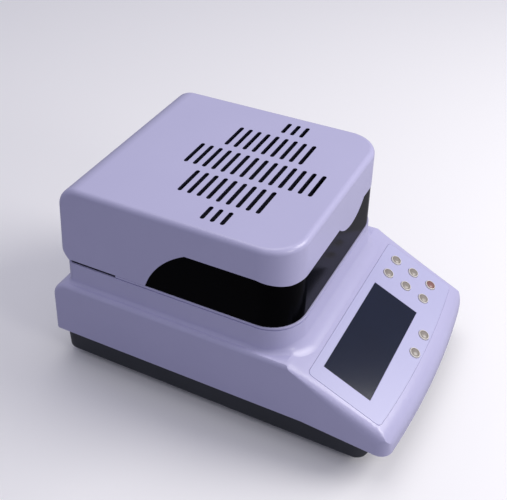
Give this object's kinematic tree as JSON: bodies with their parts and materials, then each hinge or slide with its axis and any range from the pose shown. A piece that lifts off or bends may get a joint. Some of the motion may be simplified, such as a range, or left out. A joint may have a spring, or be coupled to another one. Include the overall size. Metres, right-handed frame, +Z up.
{
  "type": "non-volatile matter tester",
  "caption": "Bench moisture and solids tester: a drying balance with a slotted, smoked-window heater hood that tilts up from a low chamber, and a sloping keypad and display panel.",
  "frame": {"origin": "on the bench, under the middle of the instrument's footprint", "axes": "+X to the user's right, +Y to the back, +Z up; the sloping control panel faces -Y"},
  "size_m": [0.205, 0.3287, 0.195],
  "materials": {
    "charcoal_abs": "fine moulded texture, satin",
    "lavender_abs": "smooth moulded, semi-gloss",
    "smoked_polycarbonate": "deep smoked, polished",
    "stainless_steel": "brushed",
    "sheet_steel_black": "heat-proof black, satin",
    "zinc_plated_steel": "bright zinc",
    "aluminium": "satin",
    "pressed_aluminium": "bright pressed",
    "polished_reflector": "polished",
    "quartz_glass": "clear",
    "ceramic": "unglazed, matt",
    "display_lens": "smoked, anti-glare",
    "display_module": "dark blue-grey",
    "panel_film": "satin polyester film",
    "key_cream": "semi-gloss",
    "circuit_board": "lacquered laminate",
    "transformer_steel": "varnished laminations",
    "brass": "turned",
    "black_plastic": "moulded, satin",
    "rubber": "matt",
    "nylon": "natural, satin"
  },
  "bodies": {
    "root": {"base_tray": "charcoal_abs", "top_housing": "lavender_abs", "chamber_rim": "lavender_abs", "rear_plate": "sheet_steel_black", "chamber_liner": "stainless_steel", "pan_support": "stainless_steel", "load_cell": "aluminium", "load_cell_mount": "aluminium", "display_window": "display_lens", "lcd_module": "display_module", "panel_overlay": "panel_film", "keypad_board": "circuit_board", "board_standoffs": "brass", "main_board": "circuit_board", "transformer": "transformer_steel", "power_inlet": "black_plastic", "power_switch": "black_plastic", "data_port": "zinc_plated_steel", "hinge_bracket_left": "zinc_plated_steel", "hinge_bracket_right": "zinc_plated_steel", "hinge_pin_left": "stainless_steel", "hinge_pin_right": "stainless_steel", "friction_washers": "nylon", "housing_screws": "zinc_plated_steel", "bracket_screws": "zinc_plated_steel"},
    "hood": {"hood_shell": "lavender_abs", "hood_window": "smoked_polycarbonate", "hood_frame": "sheet_steel_black", "hinge_arm_left": "zinc_plated_steel", "hinge_arm_right": "zinc_plated_steel", "heat_baffle": "sheet_steel_black", "reflector": "polished_reflector", "guard_ring": "stainless_steel", "lamp_glass": "quartz_glass", "halogen_lamp": "quartz_glass", "lamp_holder": "ceramic", "temperature_probe": "stainless_steel", "hood_screws": "zinc_plated_steel"},
    "key_outer_top": {"key_outer_top": "key_cream"},
    "key_outer_middle": {"key_outer_middle": "key_cream"},
    "key_outer_bottom": {"key_outer_bottom": "key_cream"},
    "key_inner_top": {"key_inner_top": "key_cream"},
    "key_inner_middle": {"key_inner_middle": "key_cream"},
    "key_inner_bottom": {"key_inner_bottom": "key_cream"},
    "key_lower_right": {"key_lower_right": "key_cream"},
    "key_lower_left": {"key_lower_left": "key_cream"},
    "power_rocker": {"power_rocker": "black_plastic"},
    "sample_pan": {"sample_pan": "pressed_aluminium"},
    "draught_shield": {"draught_shield": "aluminium"},
    "foot_pad_front_left": {"foot_pad_front_left": "rubber"},
    "foot_stud_front_left": {"foot_stud_front_left": "black_plastic"},
    "foot_pad_front_right": {"foot_pad_front_right": "rubber"},
    "foot_stud_front_right": {"foot_stud_front_right": "black_plastic"},
    "foot_pad_rear_left": {"foot_pad_rear_left": "rubber"},
    "foot_stud_rear_left": {"foot_stud_rear_left": "black_plastic"},
    "foot_pad_rear_right": {"foot_pad_rear_right": "rubber"},
    "foot_stud_rear_right": {"foot_stud_rear_right": "black_plastic"}
  },
  "joints": [
    {"name": "hood_hinge", "type": "hinge", "parent": "root", "child": "hood", "pos_m": [0, 0.1413, 0.128], "axis": [-1, 0, 0], "range_deg": [0, 75]},
    {"name": "key_outer_top_press", "type": "slide", "parent": "root", "child": "key_outer_top", "axis": [0, 0.4305, -0.9026], "range_m": [0, 0.0008], "stiffness_N_per_m": 300, "springref_m": -0.001},
    {"name": "key_outer_middle_press", "type": "slide", "parent": "root", "child": "key_outer_middle", "axis": [0, 0.4305, -0.9026], "range_m": [0, 0.0008], "stiffness_N_per_m": 300, "springref_m": -0.001},
    {"name": "key_outer_bottom_press", "type": "slide", "parent": "root", "child": "key_outer_bottom", "axis": [0, 0.4305, -0.9026], "range_m": [0, 0.0008], "stiffness_N_per_m": 300, "springref_m": -0.001},
    {"name": "key_inner_top_press", "type": "slide", "parent": "root", "child": "key_inner_top", "axis": [0, 0.4305, -0.9026], "range_m": [0, 0.0008], "stiffness_N_per_m": 300, "springref_m": -0.001},
    {"name": "key_inner_middle_press", "type": "slide", "parent": "root", "child": "key_inner_middle", "axis": [0, 0.4305, -0.9026], "range_m": [0, 0.0008], "stiffness_N_per_m": 300, "springref_m": -0.001},
    {"name": "key_inner_bottom_press", "type": "slide", "parent": "root", "child": "key_inner_bottom", "axis": [0, 0.4305, -0.9026], "range_m": [0, 0.0008], "stiffness_N_per_m": 300, "springref_m": -0.001},
    {"name": "key_lower_right_press", "type": "slide", "parent": "root", "child": "key_lower_right", "axis": [0, 0.4305, -0.9026], "range_m": [0, 0.0008], "stiffness_N_per_m": 300, "springref_m": -0.001},
    {"name": "key_lower_left_press", "type": "slide", "parent": "root", "child": "key_lower_left", "axis": [0, 0.4305, -0.9026], "range_m": [0, 0.0008], "stiffness_N_per_m": 300, "springref_m": -0.001},
    {"name": "power_rocker_tilt", "type": "hinge", "parent": "root", "child": "power_rocker", "pos_m": [0.022, 0.15963, 0.05675], "axis": [1, 0, 0], "range_deg": [0, 14]},
    {"name": "sample_pan_lift", "type": "slide", "parent": "root", "child": "sample_pan", "axis": [0, 0, 1], "range_m": [0, 0.018]},
    {"name": "draught_shield_lift", "type": "slide", "parent": "root", "child": "draught_shield", "axis": [0, 0, 1], "range_m": [0, 0.012]},
    {"name": "foot_front_left_height", "type": "slide", "parent": "root", "child": "foot_pad_front_left", "axis": [0, 0, -1], "range_m": [0, 0.004]},
    {"name": "foot_front_left_spin", "type": "hinge", "parent": "foot_pad_front_left", "child": "foot_stud_front_left", "pos_m": [-0.075, -0.122, 0.006], "axis": [0, 0, -1], "range_deg": [0, 1440]},
    {"name": "foot_front_right_height", "type": "slide", "parent": "root", "child": "foot_pad_front_right", "axis": [0, 0, -1], "range_m": [0, 0.004]},
    {"name": "foot_front_right_spin", "type": "hinge", "parent": "foot_pad_front_right", "child": "foot_stud_front_right", "pos_m": [0.075, -0.122, 0.006], "axis": [0, 0, -1], "range_deg": [0, 1440]},
    {"name": "foot_rear_left_height", "type": "slide", "parent": "root", "child": "foot_pad_rear_left", "axis": [0, 0, -1], "range_m": [0, 0.004]},
    {"name": "foot_rear_left_spin", "type": "hinge", "parent": "foot_pad_rear_left", "child": "foot_stud_rear_left", "pos_m": [-0.075, 0.148, 0.006], "axis": [0, 0, -1], "range_deg": [0, 1440]},
    {"name": "foot_rear_right_height", "type": "slide", "parent": "root", "child": "foot_pad_rear_right", "axis": [0, 0, -1], "range_m": [0, 0.004]},
    {"name": "foot_rear_right_spin", "type": "hinge", "parent": "foot_pad_rear_right", "child": "foot_stud_rear_right", "pos_m": [0.075, 0.148, 0.006], "axis": [0, 0, -1], "range_deg": [0, 1440]}
  ],
  "couplings": [
    {"joint": "foot_front_left_spin", "follows": "foot_front_left_height", "rad_per_m": 6283.2},
    {"joint": "foot_front_right_spin", "follows": "foot_front_right_height", "rad_per_m": 6283.2},
    {"joint": "foot_rear_left_spin", "follows": "foot_rear_left_height", "rad_per_m": 6283.2},
    {"joint": "foot_rear_right_spin", "follows": "foot_rear_right_height", "rad_per_m": 6283.2}
  ]
}
